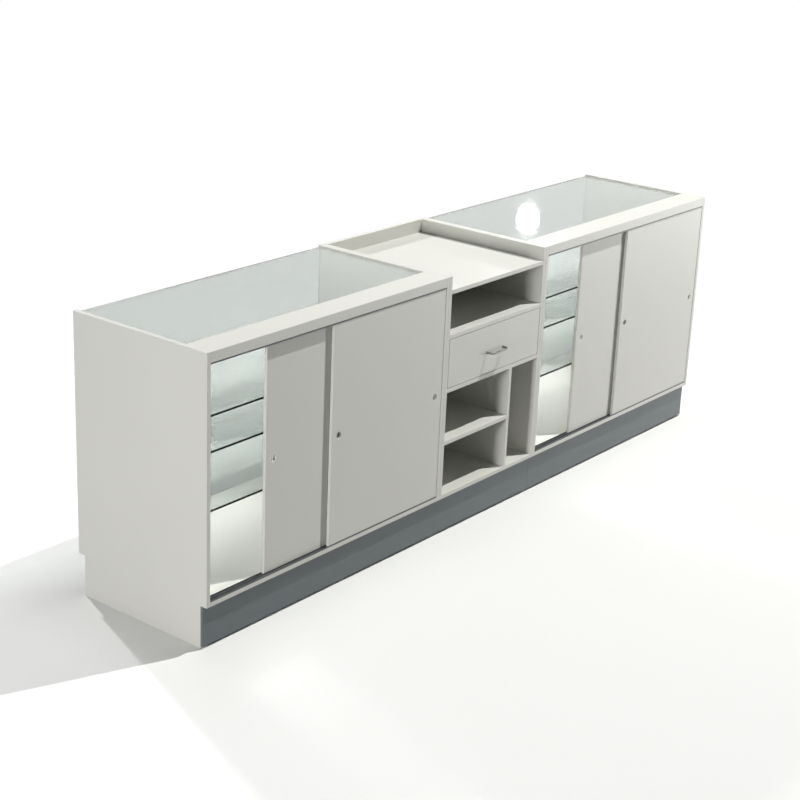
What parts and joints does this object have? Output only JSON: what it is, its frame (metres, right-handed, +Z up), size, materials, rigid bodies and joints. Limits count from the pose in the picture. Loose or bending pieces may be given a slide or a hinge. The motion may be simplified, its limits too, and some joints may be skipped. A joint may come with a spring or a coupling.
{
  "type": "reception desk",
  "caption": "Long white reception counter: glazed display cases with sliding doors on either side of a lower till section with niche, drawer and open bays.",
  "frame": {"origin": "centre of the bounding box on the floor", "axes": "+X along the counter to the right as the staff see it, +Y from the staff to the customer, +Z up"},
  "size_m": [3, 0.629, 1],
  "materials": {
    "board": "white melamine-faced board, satin",
    "plinth": "grey-blue satin kick board",
    "track": "dark grey extruded track",
    "glass": "clear float glass with a faint green tint",
    "steel": "zinc-plated sheet steel",
    "chrome": "satin nickel bar"
  },
  "bodies": {
    "carcass": {"case_left_end_outer": "board", "case_left_end_inner": "board", "case_left_bottom": "board", "case_left_customer_pane": "glass", "case_left_top_rail": "board", "case_left_glass_top": "glass", "case_left_track_lower": "track", "case_left_track_upper": "track", "case_left_plinth_staff": "plinth", "case_left_plinth_customer": "plinth", "case_left_shelf_lower": "glass", "case_left_shelf_middle": "glass", "case_left_shelf_upper": "glass", "case_right_end_inner": "board", "case_right_end_outer": "board", "case_right_bottom": "board", "case_right_customer_pane": "glass", "case_right_top_rail": "board", "case_right_glass_top": "glass", "case_right_track_lower": "track", "case_right_track_upper": "track", "case_right_plinth_staff": "plinth", "case_right_plinth_customer": "plinth", "case_right_shelf_lower": "glass", "case_right_shelf_middle": "glass", "case_right_shelf_upper": "glass", "till_side_left": "board", "till_side_right": "board", "till_worktop": "board", "till_niche_shelf": "board", "till_drawer_shelf": "board", "till_bottom": "board", "till_divider": "board", "till_mid_shelf": "board", "till_customer_panel": "board", "till_plinth_staff": "plinth", "till_plinth_customer": "plinth", "till_channel_left": "steel", "till_channel_right": "steel"},
    "case_left_door_outer": {"case_left_door_outer": "board"},
    "case_left_door_inner": {"case_left_door_inner": "board"},
    "case_right_door_outer": {"case_right_door_outer": "board"},
    "case_right_door_inner": {"case_right_door_inner": "board"},
    "drawer": {"drawer_front": "board", "drawer_side_left": "board", "drawer_side_right": "board", "drawer_back": "board", "drawer_floor": "board", "drawer_tongue_left": "steel", "drawer_tongue_right": "steel", "drawer_handle": "chrome"}
  },
  "joints": [
    {"name": "case_left_door_outer_slide", "type": "slide", "parent": "carcass", "child": "case_left_door_outer", "axis": [1, 0, 0], "range_m": [-0.5704, 0]},
    {"name": "case_left_door_inner_slide", "type": "slide", "parent": "carcass", "child": "case_left_door_inner", "axis": [1, 0, 0], "range_m": [-0.264, 0.3064]},
    {"name": "case_right_door_outer_slide", "type": "slide", "parent": "carcass", "child": "case_right_door_outer", "axis": [1, 0, 0], "range_m": [-0.5704, 0]},
    {"name": "case_right_door_inner_slide", "type": "slide", "parent": "carcass", "child": "case_right_door_inner", "axis": [1, 0, 0], "range_m": [-0.264, 0.3064]},
    {"name": "drawer_slide", "type": "slide", "parent": "carcass", "child": "drawer", "axis": [0, -1, 0], "range_m": [0, 0.38]}
  ]
}
